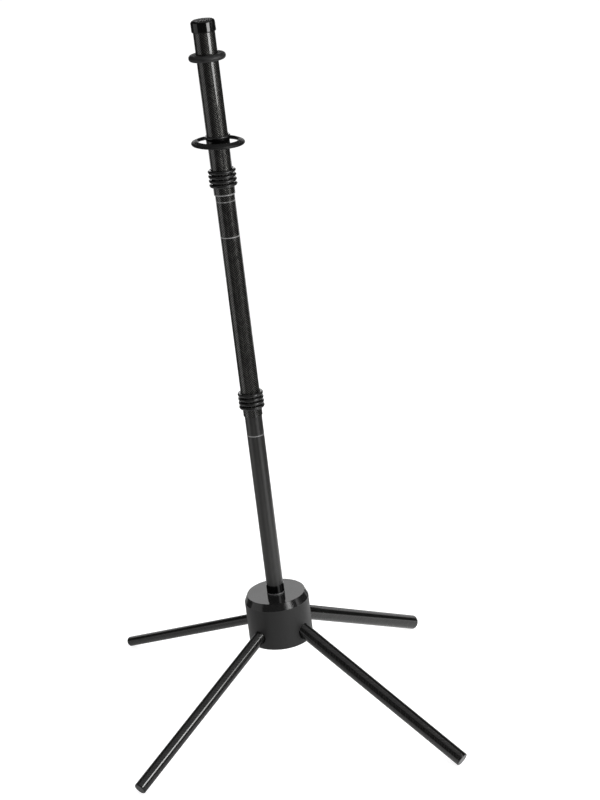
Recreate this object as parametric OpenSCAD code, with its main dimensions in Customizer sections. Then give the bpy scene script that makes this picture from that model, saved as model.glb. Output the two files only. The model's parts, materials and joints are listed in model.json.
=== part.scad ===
// Collapsible four-leg instrument stand in carbon tube: leaning telescopic mast, round hub, pull-out legs.
// Millimetres, +Z up. The origin is on the floor, in the middle of the footprint of the legs.

/* [Mast tubes] */
// Outside diameter of the upper tube
upper_d = 24; // [18:0.5:36]
// Outside diameter of the middle tube
middle_d = 22; // [16:0.5:34]
// Outside diameter of the lower tube
lower_d = 20; // [14:0.5:32]
// Radial play between sliding tubes
slide_play = 0.05; // [0.02:0.01:0.1]
// Wall left between neighbouring tube sizes
tube_wall = 0.95; // [0.6:0.05:1.5]
// Height of the lower end of the middle tube above the hub
middle_end_z = 227; // [120:1:300]
// Height of the lower end of the upper tube above the hub
upper_end_z = 490.4; // [340:1:600]
// Height of the top of the upper tube above the hub
upper_top_z = 682; // [560:1:800]
// Length of one tube inside the next when extended
overlap = 62; // [30:1:90]
// Depth of the lower tube below the top of the hub
spigot_depth = 35; // [20:1:45]

/* [Mast trim] */
// Width of the pale marker rings
mark_w = 1; // [0.5:0.1:3]
// Inlay depth of the pale marker rings
mark_depth = 0.3; // [0.1:0.05:0.5]
// Height of the marker ring on the lower tube above the hub
lower_mark_z = 203; // [120:1:220]
// Height of the marker ring on the middle tube above the hub
middle_mark_z = 442; // [300:1:480]
// Height of the foot collar
foot_collar_h = 9.6; // [5:0.1:20]
// Outside diameter of the foot collar
foot_collar_d = 21.2; // [20.5:0.1:30]
// Wall of the metal liner in the hub
liner_wall = 0.6; // [0.4:0.05:1.5]
// Height of the liner above the hub face
liner_proud = 1.6; // [0.5:0.1:4]

/* [O-rings] */
// Cord diameter of the O-rings on the tubes
oring_cord = 3.9; // [2:0.1:5]
// Spacing of the O-rings in a stack
oring_pitch = 5.1; // [4:0.1:8]
// Middle of the upper O-ring stack above the hub
upper_stack_z = 509.3; // [400:1:640]
// Middle of the middle O-ring stack above the hub
middle_stack_z = 246; // [150:1:400]
// Flattening of an O-ring against its tube
oring_squash = 0.2; // [0.1:0.05:0.6]

/* [End cap] */
// Outside diameter of the end cap
cap_d = 27; // [25:0.5:40]
// Height of the end cap
cap_h = 13; // [8:0.5:30]
// Rounding of the cap edge
cap_round = 2.4; // [0.5:0.1:4]
// Rounding of the lower edge of the cap
cap_foot_round = 1.2; // [0.5:0.1:3]
// Thickness of the cap top
cap_top_t = 2.2; // [1:0.1:5]
// Length of the cap plug inside the tube
cap_plug_l = 8; // [3:0.5:20]

/* [Throat ring] */
// Outside diameter of the throat ring
throat_d = 41; // [30:0.5:60]
// Height of the throat ring
throat_h = 7; // [4:0.5:12]
// Height of the throat ring above the hub
throat_z = 643.9; // [570:1:660]

/* [Bell rest] */
// Outside diameter of the bell rest
rest_d = 59.4; // [44:0.5:90]
// Radial width of the bell rest rim
rim_w = 7.6; // [5:0.1:12]
// Height of the bell rest rim
rim_h = 5.3; // [3:0.1:8]
// Fall of the rim from its inner to its outer edge
rim_fall = 1.4; // [0:0.1:3]
// Height of the bell rest above the hub
rest_z = 549.4; // [530:1:600]
// Tilt of the bell rest on the tube that sets it level
rest_tilt = 4.2; // [0:0.1:8]
// Direction the two webs point in
web_angle = 75; // [0:1:180]
// Width of each web
web_w = 9; // [4:0.5:14]
// Thickness of each web
web_t = 2.2; // [1:0.1:3]
// Thickness of the web tongues moulded into the rim
tongue_t = 1; // [0.5:0.1:2]
// Depth of the web tongues in the rim
tongue_l = 3.8; // [1:0.1:5]
// Wall of the bell rest collar
collar_wall = 1.1; // [0.8:0.1:3]
// Height of the bell rest collar below the rest plane
collar_below = 3.4; // [2:0.1:8]
// Height of the bell rest collar above the rest plane
collar_above = 5.8; // [3:0.1:12]
// Cord diameter of the grip O-ring above the collar
grip_cord = 2.4; // [2:0.1:5]

/* [Hub] */
// Outside diameter of the hub
hub_d = 76.7; // [60:0.5:120]
// Height of the hub
hub_h = 58.7; // [50:0.5:90]
// Diameter of the flat top face
hub_face_d = 69.2; // [50:0.5:110]
// Height of the bevel below the top face
hub_bevel_h = 8.2; // [1:0.1:15]
// Small bevel on the bottom edge
hub_foot_bevel = 0.8; // [0.2:0.1:3]
// Distance from the floor to the hub face, along the mast
hub_top = 150.8; // [110:0.1:260]
// Lean of the mast
lean = 4.7; // [0:0.1:8]
// Direction the mast leans in
lean_azimuth = 183.3; // [0:0.1:360]

/* [Legs] */
// Outside diameter of the front right leg
leg_fr_d = 16.5; // [10:0.1:20]
// Outside diameter of the front left leg
leg_fl_d = 14.5; // [10:0.1:20]
// Outside diameter of the rear left leg
leg_rl_d = 12.3; // [10:0.1:20]
// Outside diameter of the rear right leg
leg_rr_d = 18; // [10:0.1:20]
// Wall of the leg tubes
leg_wall = 0.95; // [0.6:0.05:1.5]
// Direction of the front right leg
leg_azimuth = -41.4; // [-90:0.1:0]
// Mean slope of the legs below the plane of the hub face
leg_slope = 24.3; // [10:0.1:40]
// Extra slope of the legs on the side away from the lean
leg_skew = 3.6; // [0:0.1:6]
// Distance from the hub face to the leg axes at the hub surface
leg_drop = 43.8; // [30:0.1:50]
// Depth of a leg in its socket
socket_depth = 24; // [15:0.5:26]
// Radial gap of the relief at the socket mouth
mouth_gap = 0.8; // [0.2:0.1:1.5]
// Depth of the relief at the socket mouth
mouth_depth = 2.6; // [1:0.1:5]
// Cord diameter of the grip ring in each socket
socket_cord = 2; // [1:0.1:3]
// Distance of the grip ring from the socket mouth
socket_grip_at = 11; // [6:0.5:18]
// Head thickness of the leg end plugs
plug_head = 2; // [1:0.1:5]
// Edge rounding of the leg end plugs
plug_round = 1.2; // [0.3:0.1:2]
// Length of the plug inside the leg tube
plug_spigot = 14; // [5:0.5:30]

/* [Hidden] */
$fn = 96;
skin = 0.01;
quarter = 90;
upper_r = upper_d / 2;
middle_r = middle_d / 2;
lower_r = lower_d / 2;
upper_bore = middle_r + slide_play;
middle_bore = lower_r + slide_play;
lower_bore = lower_r - tube_wall;
middle_top_z = upper_end_z + overlap;
lower_top_z = middle_end_z + overlap;
collar_bore = upper_r + slide_play;
hub_r = hub_d / 2;
liner_bore = lower_r + slide_play;
liner_r = liner_bore + liner_wall;
liner_depth = spigot_depth + 1;
cap_r = cap_d / 2;
cap_base_z = upper_top_z + cap_top_t - cap_h;
rim_cord = rim_h - rim_fall;
rest_r = rest_d / 2;
rim_in = rest_r - rim_w;
leg_r = [leg_fr_d / 2, leg_fl_d / 2, leg_rl_d / 2, leg_rr_d / 2];
leg_side = [1, -1, -1, 1];
plug_bevel = 0.6;
over = 1;
clear_by = 30;
collar_step = 0.4;
stack_middle = 2.5;
socket_groove_w = 1.2 * socket_cord;
socket_back_w = 0.6 * socket_cord;
throat_edge = 0.45 * throat_h;
tongue_step = 1;
rim_step = 10;

carbon = [0.09, 0.09, 0.095];
rubber = [0.05, 0.05, 0.05];
gloss = [0.03, 0.03, 0.03];
acetal = [0.16, 0.16, 0.16];
metal = [0.75, 0.75, 0.73];

// Direction, slope and visible length of each leg; the length puts the rounded tip exactly on the floor.
function leg_dir(i) = leg_azimuth - quarter * i;
function slope(i) = leg_slope + leg_skew * leg_side[i];
function leaned(c, s) = [1 + c * c * (cos(lean) - 1), c * s * (cos(lean) - 1), c * sin(lean)];
function floor_x() = leaned(cos(lean_azimuth), sin(lean_azimuth));
function floor_y() = let(v = leaned(sin(lean_azimuth), cos(lean_azimuth))) [v[1], v[0], v[2]];
function floor_up() = cross(floor_x(), floor_y());
function leg_axis(i) = [cos(leg_dir(i)) * cos(slope(i)), sin(leg_dir(i)) * cos(slope(i)), -sin(slope(i))];
function leg_exit(i) = [hub_r * cos(leg_dir(i)), hub_r * sin(leg_dir(i)), hub_top - leg_drop];
function fall(i) = -(floor_up() * leg_axis(i));
function tip_drop(i) = (leg_r[i] - plug_round) * sqrt(1 - fall(i) * fall(i)) + plug_round;
function leg_len(i) = plug_round + (floor_up() * leg_exit(i) - tip_drop(i)) / fall(i);

// Reach of the rounded leg tips along a floor axis, and the middle of the footprint.
function tip(i) = leg_exit(i) + leg_axis(i) * (leg_len(i) - plug_round);
function tip_half(i, v) = plug_round + (leg_r[i] - plug_round) * sqrt(1 - pow(v * leg_axis(i), 2));
function high(v) = max([for (i = [0:3]) v * tip(i) + tip_half(i, v)]);
function low(v) = min([for (i = [0:3]) v * tip(i) - tip_half(i, v)]);
function middle(v) = (high(v) + low(v)) / 2;
mast_foot = [-middle(floor_x()), -middle(floor_y()), 0];

// Mast frame: z runs up the leaning mast, zero on the hub face.
module on_mast() {
    translate(mast_foot) rotate([0, 0, lean_azimuth]) rotate([0, lean, 0])
        rotate([0, 0, -lean_azimuth]) translate([0, 0, hub_top]) children();
}

// Leg frame: z runs out along the leg, zero where its axis leaves the hub.
module on_leg(i) {
    rotate([0, 0, leg_dir(i)]) translate([hub_r, 0, -leg_drop])
        rotate([0, quarter + slope(i), 0]) children();
}

module pipe(r_out, r_in, z0, z1) {
    translate([0, 0, z0]) difference() {
        cylinder(r = r_out, h = z1 - z0);
        translate([0, 0, -over]) cylinder(r = r_in, h = z1 - z0 + 2 * over);
    }
}

// Cord ring seated on a tube, flattened where it touches.
module seated_ring(r_tube, cord, squash) {
    rotate_extrude() intersection() {
        translate([r_tube + cord / 2 - squash, 0]) circle(d = cord, $fn = 48);
        translate([r_tube, -cord]) square([2 * cord, 2 * cord]);
    }
}

module stack_ring(r_tube, stack_z, i) {
    color(rubber) on_mast() translate([0, 0, stack_z + (stack_middle - i) * oring_pitch])
        seated_ring(r_tube, oring_cord, oring_squash);
}

// Flat ring with fully rounded edges.
module round_edge_ring(r_in, r_out, h, edge) {
    rotate_extrude() union() {
        translate([r_in, -h / 2]) square([r_out - r_in - edge, h]);
        translate([r_in, edge - h / 2]) square([r_out - r_in, h - 2 * edge]);
        for (s = [-1, 1]) translate([r_out - edge, s * (h / 2 - edge)]) circle(r = edge, $fn = 48);
    }
}

// ---- hub ----
module hub_body() {
    color(acetal) on_mast() difference() {
        rotate_extrude($fn = 128) polygon([[0, 0], [hub_face_d / 2, 0], [hub_r, -hub_bevel_h],
            [hub_r, hub_foot_bevel - hub_h], [hub_r - hub_foot_bevel, -hub_h], [0, -hub_h]]);
        translate([0, 0, -liner_depth]) cylinder(r = liner_r, h = liner_depth + over);
        for (i = [0:3]) on_leg(i) {
            translate([0, 0, -socket_depth])
                cylinder(r = leg_r[i] + slide_play, h = socket_depth + clear_by);
            translate([0, 0, -mouth_depth])
                cylinder(r = leg_r[i] + mouth_gap, h = mouth_depth + clear_by);
            translate([0, 0, -socket_grip_at - socket_groove_w / 2])
                cylinder(r = leg_r[i] + slide_play + socket_cord, h = socket_groove_w);
        }
    }
}

module hub_socket_liner() {
    color(metal) on_mast() pipe(liner_r, liner_bore, -liner_depth, liner_proud);
}

module socket_grip(i) {
    color(rubber) on_mast() on_leg(i) translate([0, 0, -socket_grip_at]) rotate_extrude()
        translate([leg_r[i] + slide_play + socket_cord / 2, 0]) union() {
            circle(d = socket_cord, $fn = 32);
            translate([0, -socket_back_w / 2]) square([socket_cord / 2, socket_back_w]);
        }
}

// ---- mast ----
module lower_tube() {
    color(carbon) on_mast() difference() {
        pipe(lower_r, lower_bore, -spigot_depth, lower_top_z);
        marker_groove(lower_r, lower_mark_z);
    }
}

module marker_groove(r, z) {
    translate([0, 0, z - mark_w / 2]) difference() {
        cylinder(r = r + over, h = mark_w);
        translate([0, 0, -over]) cylinder(r = r - mark_depth, h = mark_w + 2 * over);
    }
}

module lower_tube_marker_ring() {
    color(metal) on_mast()
        pipe(lower_r, lower_r - mark_depth, lower_mark_z - mark_w / 2, lower_mark_z + mark_w / 2);
}

module lower_tube_foot_collar() {
    color(gloss) on_mast() translate([0, 0, liner_proud]) rotate_extrude() union() {
        translate([lower_r, 0]) square([foot_collar_d / 2 - lower_r, foot_collar_h - collar_step]);
        translate([lower_r, 0]) square([foot_collar_d / 2 - lower_r - collar_step, foot_collar_h]);
    }
}

module middle_tube() {
    color(carbon) on_mast() difference() {
        pipe(middle_r, middle_bore, middle_end_z, middle_top_z);
        marker_groove(middle_r, middle_mark_z);
    }
}

module middle_tube_marker_ring() {
    color(metal) on_mast()
        pipe(middle_r, middle_r - mark_depth, middle_mark_z - mark_w / 2, middle_mark_z + mark_w / 2);
}

module middle_oring_1() { stack_ring(middle_r, middle_stack_z, 1); }
module middle_oring_2() { stack_ring(middle_r, middle_stack_z, 2); }
module middle_oring_3() { stack_ring(middle_r, middle_stack_z, 3); }
module middle_oring_4() { stack_ring(middle_r, middle_stack_z, 4); }

module upper_tube() {
    color(carbon) on_mast() pipe(upper_r, upper_bore, upper_end_z + mark_w, upper_top_z);
}

module upper_tube_end_ring() {
    color(metal) on_mast() pipe(upper_r, upper_bore, upper_end_z, upper_end_z + mark_w);
}

module upper_oring_1() { stack_ring(upper_r, upper_stack_z, 1); }
module upper_oring_2() { stack_ring(upper_r, upper_stack_z, 2); }
module upper_oring_3() { stack_ring(upper_r, upper_stack_z, 3); }
module upper_oring_4() { stack_ring(upper_r, upper_stack_z, 4); }

module end_cap() {
    color(gloss) on_mast() difference() {
        translate([0, 0, cap_base_z]) rotate_extrude() union() {
            square([cap_r - cap_round, cap_h]);
            square([cap_r - cap_foot_round, cap_h / 2]);
            translate([0, cap_foot_round]) square([cap_r, cap_h - cap_round - cap_foot_round]);
            translate([cap_r - cap_foot_round, cap_foot_round]) circle(r = cap_foot_round, $fn = 48);
            translate([cap_r - cap_round, cap_h - cap_round]) circle(r = cap_round, $fn = 48);
        }
        difference() {
            translate([0, 0, cap_base_z - over]) cylinder(r = collar_bore, h = cap_h - cap_top_t + over);
            translate([0, 0, upper_top_z - cap_plug_l])
                cylinder(r = upper_bore - slide_play, h = cap_plug_l + over);
        }
    }
}

module throat_ring() {
    color(rubber) on_mast() translate([0, 0, throat_z])
        round_edge_ring(collar_bore, throat_d / 2, throat_h, throat_edge);
}

// ---- bell rest ----
// Two webs out to the rim, and the thinner tongues that run on into it.
module webs() {
    linear_extrude(web_t, center = true) intersection() {
        rotate(web_angle) square([2 * rim_in, web_w], center = true);
        circle(r = rim_in);
    }
}

module tongues() {
    linear_extrude(tongue_t, center = true)
        rotate(web_angle) square([2 * (rim_in + tongue_l), web_w - 2 * tongue_step], center = true);
}

module on_rest() {
    translate([0, 0, rest_z]) rotate([0, rest_tilt, 0]) children();
}

module bell_rest_carrier() {
    color(gloss) on_mast() difference() {
        union() {
            pipe(collar_bore + collar_wall, collar_bore - skin, rest_z - collar_below, rest_z + collar_above);
            on_rest() {
                webs();
                tongues();
            }
        }
        translate([0, 0, rest_z - clear_by]) cylinder(r = collar_bore, h = 2 * clear_by);
    }
}

// Rounded slab that falls towards its outer edge.
module rim_section() {
    c = rim_cord / 2;
    run = rim_w - rim_cord;
    tilt = atan2(rim_fall, run);
    polygon(concat(
        [for (a = [quarter - tilt:-rim_step:-quarter - tilt])
            [rim_in + c + run + c * cos(a), c * sin(a) - rim_fall / 2]],
        [for (a = [3 * quarter - tilt:-rim_step:quarter - tilt])
            [rim_in + c + c * cos(a), c * sin(a) + rim_fall / 2]]));
}

module bell_rest_rim() {
    color(rubber) on_mast() on_rest() difference() {
        rotate_extrude() rim_section();
        tongues();
    }
}

module bell_rest_grip_oring() {
    color(rubber) on_mast() translate([0, 0, rest_z + collar_above]) rotate_extrude() intersection() {
        translate([collar_bore + grip_cord / 2 - skin, grip_cord / 2 - oring_squash])
            circle(d = grip_cord, $fn = 48);
        translate([collar_bore, 0]) square([2 * grip_cord, 2 * grip_cord]);
    }
}

// ---- legs ----
module leg_tube(i) {
    color(carbon) on_mast() on_leg(i)
        pipe(leg_r[i], leg_r[i] - leg_wall, -socket_depth, leg_len(i) - plug_head);
}

module leg_plug(i) {
    color(gloss) on_mast() on_leg(i) translate([0, 0, leg_len(i) - plug_head]) rotate_extrude() union() {
        square([leg_r[i], plug_head - plug_round]);
        square([leg_r[i] - plug_round, plug_head]);
        translate([leg_r[i] - plug_round, plug_head - plug_round]) intersection() {
            circle(r = plug_round, $fn = 48);
            translate([-plug_round, 0]) square(2 * plug_round);
        }
        translate([0, -plug_spigot]) square([leg_r[i] - leg_wall - plug_bevel, plug_spigot + plug_bevel]);
        translate([0, plug_bevel - plug_spigot]) square([leg_r[i] - leg_wall, plug_spigot]);
    }
}

module leg_tube_front_right() { leg_tube(0); }
module leg_tube_front_left() { leg_tube(1); }
module leg_tube_rear_left() { leg_tube(2); }
module leg_tube_rear_right() { leg_tube(3); }
module leg_plug_front_right() { leg_plug(0); }
module leg_plug_front_left() { leg_plug(1); }
module leg_plug_rear_left() { leg_plug(2); }
module leg_plug_rear_right() { leg_plug(3); }
module socket_grip_front_right() { socket_grip(0); }
module socket_grip_front_left() { socket_grip(1); }
module socket_grip_rear_left() { socket_grip(2); }
module socket_grip_rear_right() { socket_grip(3); }

hub_body();
hub_socket_liner();
lower_tube();
lower_tube_foot_collar();
lower_tube_marker_ring();
middle_tube();
middle_tube_marker_ring();
middle_oring_1();
middle_oring_2();
middle_oring_3();
middle_oring_4();
upper_tube();
upper_tube_end_ring();
upper_oring_1();
upper_oring_2();
upper_oring_3();
upper_oring_4();
end_cap();
throat_ring();
bell_rest_carrier();
bell_rest_rim();
bell_rest_grip_oring();
leg_tube_front_right();
leg_tube_front_left();
leg_tube_rear_left();
leg_tube_rear_right();
leg_plug_front_right();
leg_plug_front_left();
leg_plug_rear_left();
leg_plug_rear_right();
socket_grip_front_right();
socket_grip_front_left();
socket_grip_rear_left();
socket_grip_rear_right();
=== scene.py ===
import json
import math
import bpy
from mathutils import Matrix, Vector


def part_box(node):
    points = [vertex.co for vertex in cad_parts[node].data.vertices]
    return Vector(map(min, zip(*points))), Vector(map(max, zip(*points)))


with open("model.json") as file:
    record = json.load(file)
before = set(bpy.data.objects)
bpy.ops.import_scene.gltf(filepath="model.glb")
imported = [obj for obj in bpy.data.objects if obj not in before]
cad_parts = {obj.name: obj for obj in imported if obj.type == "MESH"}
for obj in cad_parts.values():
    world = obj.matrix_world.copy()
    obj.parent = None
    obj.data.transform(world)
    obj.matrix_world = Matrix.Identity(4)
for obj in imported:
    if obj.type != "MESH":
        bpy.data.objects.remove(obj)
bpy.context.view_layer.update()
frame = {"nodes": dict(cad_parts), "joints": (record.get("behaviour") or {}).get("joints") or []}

scene = bpy.context.scene
nodes = frame["nodes"]
joints = {j["name"]: j for j in frame["joints"]}

LEGS = ("front_right", "front_left", "rear_left", "rear_right")
COLLAR_MIDDLE = 0.0064  # middle of the foot collar above the hub face
BEVEL_H = 0.0082  # from the hub face down to the lower edge of its bevel
UPPER_R, MIDDLE_R, LOWER_R = 0.012, 0.011, 0.010
WEAVE_TURN = 0.08  # radians that the weave of the mast tubes is turned by
RUBBED_RING = (0.4830, 0.0007, 0.9)  # height above the hub face, half width and wear

# ---------------------------------------------------------------- frame of the mast
UP = Vector(joints["mast_pull_out"]["axis"]).normalized()


def centre(node):
    lo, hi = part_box(node)
    return (lo + hi) / 2


MAST = centre("lower_tube_foot_collar") - UP * COLLAR_MIDDLE  # where the mast axis meets the hub face


# ---------------------------------------------------------------- node helpers
class Nodes:
    """A material's node tree with short ways to add nodes."""

    def __init__(self, name):
        self.mat = bpy.data.materials.new(name)
        self.mat.use_nodes = True
        self.tree = self.mat.node_tree
        self.tree.nodes.clear()
        self.out = self.tree.nodes.new("ShaderNodeOutputMaterial")
        self.bsdf = self.tree.nodes.new("ShaderNodeBsdfPrincipled")
        self.tree.links.new(self.bsdf.outputs[0], self.out.inputs[0])

    def put(self, socket, value):
        if hasattr(value, "is_output"):
            self.tree.links.new(value, socket)
        elif value is not None:
            socket.default_value = value

    def math(self, op, a, b=None, clamp=False):
        n = self.tree.nodes.new("ShaderNodeMath")
        n.operation = op
        n.use_clamp = clamp
        for k, v in enumerate((a, b)):
            self.put(n.inputs[k], v)
        return n.outputs[0]

    def vec(self, op, a, b=None, scale=None):
        n = self.tree.nodes.new("ShaderNodeVectorMath")
        n.operation = op
        self.put(n.inputs[0], a)
        self.put(n.inputs[1], b)
        if scale is not None:
            self.put(n.inputs["Scale"], scale)
        return n.outputs["Value"] if op in ("DOT_PRODUCT", "LENGTH") else n.outputs[0]

    def object(self):
        return self.tree.nodes.new("ShaderNodeTexCoord").outputs["Object"]

    def noise(self, vector, scale, detail=2.0, rough=0.5):
        n = self.tree.nodes.new("ShaderNodeTexNoise")
        self.put(n.inputs["Vector"], vector)
        n.inputs["Scale"].default_value = scale
        n.inputs["Detail"].default_value = detail
        n.inputs["Roughness"].default_value = rough
        return n.outputs["Fac"]

    def ramp(self, value, lo, hi, out_lo=0.0, out_hi=1.0, smooth=False):
        n = self.tree.nodes.new("ShaderNodeMapRange")
        if smooth:
            n.interpolation_type = "SMOOTHSTEP"
        self.put(n.inputs["Value"], value)
        for name, v in (("From Min", lo), ("From Max", hi), ("To Min", out_lo), ("To Max", out_hi)):
            n.inputs[name].default_value = v
        return n.outputs["Result"]

    def mix(self, fac, a, b):
        n = self.tree.nodes.new("ShaderNodeMix")
        n.data_type = "RGBA"
        self.put(n.inputs[0], fac)
        self.put(n.inputs[6], a)
        self.put(n.inputs[7], b)
        return n.outputs[2]

    def bump(self, height, distance, strength):
        n = self.tree.nodes.new("ShaderNodeBump")
        n.inputs["Strength"].default_value = strength
        n.inputs["Distance"].default_value = distance
        self.put(n.inputs["Height"], height)
        return n.outputs[0]

    def set(self, **values):
        for k, v in values.items():
            self.put(self.bsdf.inputs[k.replace("_", " ")], v)

    def local(self, origin, axis):
        """Coordinates round an axis: (x, y, z) along side, other side and axis, with the side directions."""
        axis = axis.normalized()
        ex = (Vector((1.0, 0.0, 0.0)) - axis * axis.x).normalized()
        ey = axis.cross(ex)
        p = self.vec("SUBTRACT", self.object(), tuple(origin))
        x, y, z = (self.vec("DOT_PRODUCT", p, tuple(e)) for e in (ex, ey, axis))
        return x, y, z, ex, ey


def grey(v, tint=(1.0, 1.0, 1.0)):
    return (v * tint[0], v * tint[1], v * tint[2], 1.0)


def carbon(name, origin, axis, radius, tow=0.0019, gloss=0.03, rough=0.48, crown=0.15, gap=0.006,
           turn_by=0.0, rubbed=None, seed=0.0):
    """Clear-coated woven carbon tube: tows at 45 degrees in a herringbone, each shining across its fibres."""
    repeat, last_over = 8.0, 3.5  # the herringbone repeats after 8 steps, and steps 0 to 3 lie on top
    filaments = 14.0
    m = Nodes(name)
    x, y, z, ex, ey = m.local(origin, axis)
    around = 4 * max(2, round(2 * math.pi * radius / (math.sqrt(2) * tow) / 4))
    k = around / (2 * math.pi)
    turn = m.math("MULTIPLY", m.math("ADD", m.math("ARCTAN2", y, x), turn_by), k)
    climb = m.math("MULTIPLY", z, k / radius)
    p = m.math("ADD", turn, climb)
    q = m.math("SUBTRACT", turn, climb)
    ip, iq = m.math("FLOOR", p), m.math("FLOOR", q)
    over = m.math("LESS_THAN", m.math("FLOORED_MODULO", m.math("ADD", ip, iq), repeat), last_over)
    under = m.math("SUBTRACT", 1.0, over)
    # the tow on top, across and along it
    across = m.math("ADD", m.math("MULTIPLY", over, m.math("FRACT", p)),
                    m.math("MULTIPLY", under, m.math("FRACT", q)))
    dome = m.math("SINE", m.math("MULTIPLY", across, math.pi))
    which = m.math("ADD", m.math("MULTIPLY", over, ip),
                   m.math("MULTIPLY", under, m.math("ADD", iq, 57.3)))
    tone = m.tree.nodes.new("ShaderNodeTexWhiteNoise")
    tone.noise_dimensions = "1D"
    m.put(tone.inputs["W"], m.math("ADD", which, seed))
    # fine filaments along each tow
    comb = m.tree.nodes.new("ShaderNodeCombineXYZ")
    m.put(comb.inputs[0], m.math("MULTIPLY", across, filaments))
    m.put(comb.inputs[1], m.math("MULTIPLY", which, 3.7))
    along = m.math("ADD", m.math("MULTIPLY", over, q), m.math("MULTIPLY", under, p))
    m.put(comb.inputs[2], m.math("MULTIPLY", along, 0.6))
    fil = m.noise(comb.outputs[0], 1.0, 1.0)
    # across the filaments, in the surface, for the anisotropic shine
    rho = m.math("SQRT", m.math("ADD", m.math("MULTIPLY", x, x), m.math("MULTIPLY", y, y)))
    side = m.vec("ADD", m.vec("SCALE", tuple(ey), scale=m.math("DIVIDE", x, rho)),
                 m.vec("SCALE", tuple(-ex), scale=m.math("DIVIDE", y, rho)))
    sign = m.math("SUBTRACT", m.math("MULTIPLY", over, 2.0), 1.0)
    tangent = m.vec("NORMALIZE", m.vec("ADD", side, m.vec("SCALE", tuple(axis.normalized()), scale=sign)))
    turned = m.tree.nodes.new("ShaderNodeVectorTransform")
    turned.vector_type = "VECTOR"
    turned.convert_from, turned.convert_to = "OBJECT", "WORLD"
    m.put(turned.inputs[0], tangent)
    # black resin in the gaps, greyer filaments on the crowns, a little change from tow to tow
    shade = m.math("MULTIPLY", m.ramp(dome, 0.35, 0.95, 0.0, 1.0, smooth=True),
                   m.ramp(tone.outputs["Value"], 0.0, 1.0, 0.6, 1.15))
    shade = m.math("MULTIPLY", shade, m.ramp(fil, 0.3, 0.7, 0.75, 1.15), clamp=True)
    colour = m.mix(shade, grey(gap), grey(crown, (1.0, 0.99, 0.94)))
    r = m.ramp(fil, 0.3, 0.7, rough - 0.04, rough + 0.04)
    metal = 1.0
    if rubbed:
        middle, width, wear = rubbed
        away = m.math("ABSOLUTE", m.math("SUBTRACT", z, middle))
        patchy = m.ramp(m.noise(m.object(), 700.0, 2.0), 0.3, 0.7, wear * 0.5, wear)
        ring = m.math("SUBTRACT", 1.0, m.ramp(away, width * 0.4, width))
        ring = m.math("MULTIPLY", ring, patchy, clamp=True)
        colour = m.mix(ring, colour, grey(0.35))
        metal = m.math("SUBTRACT", 1.0, ring)
        r = m.math("ADD", r, m.math("MULTIPLY", ring, 0.3))
    height = m.math("ADD", m.math("MULTIPLY", dome, 0.8), m.math("MULTIPLY", fil, 0.2))
    m.set(Base_Color=colour, Roughness=r, Tangent=turned.outputs[0], Normal=m.bump(height, 0.00003, 0.3))
    m.put(m.bsdf.inputs["Metallic"], metal)
    m.bsdf.inputs["Specular Tint"].default_value = grey(0.3)
    m.bsdf.inputs["Anisotropic"].default_value = 0.7
    m.bsdf.inputs["Coat Weight"].default_value = 1.0
    m.bsdf.inputs["Coat Roughness"].default_value = gloss
    m.bsdf.inputs["Coat IOR"].default_value = 1.5
    # the lacquer is very slightly uneven
    m.put(m.bsdf.inputs["Coat Normal"], m.bump(m.noise(m.object(), 160.0, 1.0), 0.00004, 0.1))
    return m.mat


def rubber(name, tone=0.006, rough=0.31, grain=0.00001, ior=1.6):
    """Rubber with a fine grain and duller patches."""
    m = Nodes(name)
    o = m.object()
    fine = m.noise(o, 2600.0, 3.0, 0.6)
    patch = m.noise(o, 90.0, 3.0, 0.5)
    m.set(Base_Color=m.mix(m.ramp(patch, 0.35, 0.7), grey(tone * 0.8), grey(tone * 1.5)),
          Roughness=m.ramp(m.math("ADD", m.math("MULTIPLY", fine, 0.4), m.math("MULTIPLY", patch, 0.6)),
                           0.3, 0.7, rough - 0.08, rough + 0.1),
          Normal=m.bump(m.math("ADD", fine, m.math("MULTIPLY", patch, 0.6)), grain, 0.6))
    m.bsdf.inputs["IOR"].default_value = ior
    return m.mat


def gloss_plastic(name, tone=0.0016, rough=0.08):
    """Polished black plastic, slightly wavy, with faint scuffs."""
    m = Nodes(name)
    o = m.object()
    wave = m.noise(o, 130.0, 2.0)
    scuff = m.noise(o, 1500.0, 2.0, 0.7)
    m.set(Base_Color=m.mix(wave, grey(tone * 0.8), grey(tone * 1.3)),
          Roughness=m.ramp(scuff, 0.35, 0.75, rough * 0.8, rough * 1.8),
          Normal=m.bump(m.math("ADD", m.math("MULTIPLY", wave, 0.8), m.math("MULTIPLY", scuff, 0.2)),
                        0.00003, 0.35))
    m.bsdf.inputs["IOR"].default_value = 1.5
    return m.mat


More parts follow.
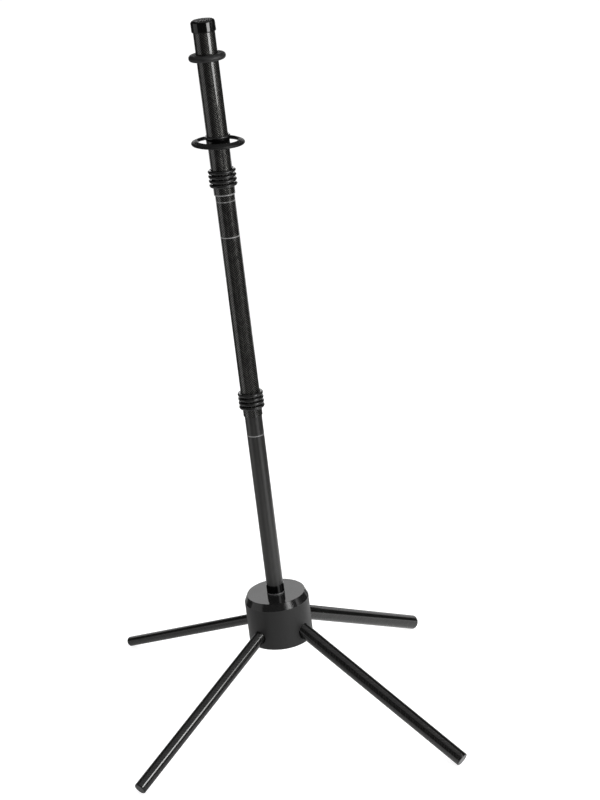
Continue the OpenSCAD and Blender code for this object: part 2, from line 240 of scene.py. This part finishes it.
def turned_plastic(name, origin, axis, bevel_z, tone=0.009):
    """Hub: satin turned side with fine tool marks, polished bevel, and a face that reflects less."""
    side_rough, bevel_rough, face_finer = 0.42, 0.14, 0.04
    m = Nodes(name)
    x, y, z = m.local(origin, axis)[:3]
    rho = m.math("SQRT", m.math("ADD", m.math("MULTIPLY", x, x), m.math("MULTIPLY", y, y)))
    polished = m.ramp(z, bevel_z - 0.0003, bevel_z + 0.0001)
    flat = m.ramp(z, -0.0006, -0.0002)
    side_marks = m.noise(m.vec("SCALE", (1.0, 0.0, 0.0), scale=z), 5200.0, 2.0, 0.6)
    face_marks = m.noise(m.vec("SCALE", (1.0, 0.0, 0.0), scale=rho), 3000.0, 2.0, 0.6)
    marks = m.math("ADD", m.math("MULTIPLY", m.math("SUBTRACT", 1.0, polished), side_marks),
                   m.math("MULTIPLY", m.math("MULTIPLY", polished, face_marks), 0.12))
    cloud = m.noise(m.object(), 60.0, 3.0)
    satin = m.math("ADD", m.ramp(polished, 0.0, 1.0, side_rough, bevel_rough),
                   m.ramp(cloud, 0.3, 0.7, -0.01, 0.02))
    m.set(Base_Color=m.mix(cloud, grey(tone * 0.85), grey(tone * 1.2)),
          Roughness=m.math("SUBTRACT", satin, m.math("MULTIPLY", flat, face_finer)),
          Normal=m.bump(marks, 0.00003, 0.5), Specular_IOR_Level=m.ramp(flat, 0.0, 1.0, 0.5, 0.15))
    m.bsdf.inputs["IOR"].default_value = 1.5
    return m.mat


def machined(name, origin, axis, tone=0.6, metal=1.0):
    """Fine turned metal, or a pale inlay where metal is low."""
    m = Nodes(name)
    z = m.local(origin, axis)[2]
    marks = m.noise(m.vec("SCALE", (1.0, 0.0, 0.0), scale=z), 16000.0, 2.0, 0.6)
    cloud = m.noise(m.object(), 400.0, 2.0)
    m.bsdf.inputs["Metallic"].default_value = metal
    m.set(Base_Color=m.mix(cloud, grey(tone * 0.8), grey(tone)),
          Roughness=m.ramp(cloud, 0.3, 0.7, 0.45, 0.6), Normal=m.bump(marks, 0.00002, 0.5))
    return m.mat


# ---------------------------------------------------------------- materials on the CAD nodes
def assign(node, material):
    o = nodes[node]
    o.data.materials.clear()
    o.data.materials.append(material)


assign("upper_tube", carbon("carbon_upper", MAST, UP, UPPER_R, turn_by=WEAVE_TURN, seed=1.0))
assign("middle_tube", carbon("carbon_middle", MAST, UP, MIDDLE_R, gloss=0.06, turn_by=WEAVE_TURN,
                             rubbed=RUBBED_RING, seed=2.0))
assign("lower_tube", carbon("carbon_lower", MAST, UP, LOWER_R, gloss=0.3, rough=0.55, crown=0.08, gap=0.05,
                            turn_by=WEAVE_TURN, seed=3.0))
for n in LEGS:
    axis = Vector(joints["leg_" + n + "_pull_out"]["axis"]).normalized()
    tube = "leg_tube_" + n
    c = centre(tube)
    out = [v.co - c for v in nodes[tube].data.vertices]
    r = max((p - axis * p.dot(axis)).length for p in out)
    assign(tube, carbon("carbon_leg_" + n, c, axis, r, crown=0.05, gap=0.005, seed=len(n) * 1.7))

soft = rubber("rubber_oring", rough=0.24)
for n in nodes:
    if "oring" in n or "socket_grip" in n:
        assign(n, soft)
assign("throat_ring", rubber("rubber_throat_ring", 0.007, 0.55, 0.00006))
assign("bell_rest_rim", rubber("rubber_rim", 0.003, 0.5, 0.00005, 1.42))
shiny = gloss_plastic("gloss_black")
for n in ("end_cap", "bell_rest_carrier", "lower_tube_foot_collar"):
    assign(n, shiny)
plug = gloss_plastic("leg_plug_black", 0.004, 0.16)
for n in LEGS:
    assign("leg_plug_" + n, plug)
assign("hub_body", turned_plastic("hub_turned", MAST, UP, -BEVEL_H))
assign("hub_socket_liner", machined("turned_liner", MAST, UP))
line = machined("pale_inlay", MAST, UP, 0.36, 0.3)
for n in ("lower_tube_marker_ring", "middle_tube_marker_ring", "upper_tube_end_ring"):
    assign(n, line)

# ---------------------------------------------------------------- floor, lights, camera
scene.view_settings.view_transform = "Standard"
scene.view_settings.look = "None"


def quad(name, size, z, strength, colour, right=0.0):
    """Square of floor that glows a little, and more towards the right by the last value."""
    mesh = bpy.data.meshes.new(name)
    s = size / 2
    mesh.from_pydata([(-s, -s, z), (s, -s, z), (s, s, z), (-s, s, z)], [], [(0, 1, 2, 3)])
    o = bpy.data.objects.new(name, mesh)
    scene.collection.objects.link(o)
    m = Nodes(name)
    fine = m.noise(m.object(), 40.0, 2.0)
    m.set(Base_Color=m.mix(fine, grey(colour * 0.99), grey(colour)), Roughness=0.9)
    m.put(m.bsdf.inputs["Emission Color"], grey(1.0))
    m.bsdf.inputs["Emission Strength"].default_value = strength
    if right:
        across = m.vec("DOT_PRODUCT", m.object(), (1.0, 0.0, 0.0))
        m.put(m.bsdf.inputs["Emission Strength"], m.ramp(across, -0.25, 0.4, strength, strength + right))
    mesh.materials.append(m.mat)
    return o


# the dim floor that only reflections see, and the pale one that everything else sees
near = quad("floor_near", 1.3, 0.0, 0.36, 0.08, 0.7)
near.visible_camera = near.visible_diffuse = near.visible_shadow = False
wide = quad("floor_wide", 120.0, -0.0005, 0.85, 0.45)
wide.visible_glossy = False


def panel(name, azimuth, distance, low, high, width, radiance, tilt=0.0, shape="RECTANGLE"):
    """Soft panel standing round the object: azimuth 0 is towards the camera, positive to its right."""
    a = math.radians(azimuth)
    data = bpy.data.lights.new(name, "AREA")
    data.shape = shape
    data.size, data.size_y = width, high - low
    area = width * (high - low) * (math.pi / 4 if shape == "ELLIPSE" else 1.0)
    data.energy = radiance * math.pi * area
    o = bpy.data.objects.new(name, data)
    scene.collection.objects.link(o)
    o.location = (math.sin(a) * distance, -math.cos(a) * distance, (low + high) / 2)
    aim = Vector((-math.sin(a), math.cos(a), -math.tan(math.radians(tilt))))
    o.rotation_mode = "QUATERNION"
    o.rotation_quaternion = aim.to_track_quat("-Z", "Y")
    o.visible_camera = False


panel("key", 44.5, 1.0, 0.572, 0.89, 0.52, 7.2, tilt=20, shape="ELLIPSE")
panel("key_wide", 43, 1.15, 0.65, 0.83, 0.76, 2.6, tilt=20, shape="ELLIPSE")
panel("key_halo", 42, 1.62, 0.86, 1.6, 1.2, 1.4, tilt=20, shape="ELLIPSE")
panel("key_high", 55, 1.28, 1.1, 1.35, 0.52, 9.0, tilt=42)
panel("soft_right", 85, 1.75, 0.68, 1.25, 0.8, 1.6, tilt=20)
panel("low_right", 44, 0.95, -0.3, 0.08, 0.5, 1.8)
panel("behind_left", -148, 1.5, 0.02, 0.42, 0.7, 0.8)
panel("behind_right", 148, 1.5, 0.02, 0.42, 0.7, 0.8)
panel("left_dim", -80, 1.9, -1.2, 0.7, 1.6, 0.65)
panel("back", 180, 1.2, 0.66, 0.98, 1.0, 3.0)

ceiling_r, ceiling_radiance = 1.5, 0.45
data = bpy.data.lights.new("ceiling", "AREA")
data.shape = "DISK"
data.size = 2 * ceiling_r
data.energy = ceiling_radiance * math.pi * math.pi * ceiling_r ** 2
top = bpy.data.objects.new("ceiling", data)
scene.collection.objects.link(top)
top.location = (0.0, 0.0, 2.3)
top.visible_camera = False

sun = bpy.data.lights.new("overhead", "SUN")
sun.energy = 1.2
sun.angle = math.radians(80)
sun_o = bpy.data.objects.new("overhead", sun)
scene.collection.objects.link(sun_o)
sun_o.visible_glossy = False

world = bpy.data.worlds.new("studio")
world.use_nodes = True
world.node_tree.nodes["Background"].inputs[0].default_value = (1, 1, 1, 1)
world.node_tree.nodes["Background"].inputs[1].default_value = 0.05
scene.world = world

cam_data = bpy.data.cameras.new("camera")
cam_data.lens = 89.78
cam_data.sensor_width = 36.0
cam = bpy.data.objects.new("camera", cam_data)
scene.collection.objects.link(cam)
cam.location = (-0.03607, -2.16483, 1.16658)
look = Vector((0.027807, 0.941248, -0.336569)).normalized()
cam.rotation_mode = "QUATERNION"
roll = Matrix.Rotation(math.radians(-1.836), 4, "Z").to_quaternion()
cam.rotation_quaternion = look.to_track_quat("-Z", "Y") @ roll
cam_data.clip_start, cam_data.clip_end = 0.05, 200.0
scene.camera = cam
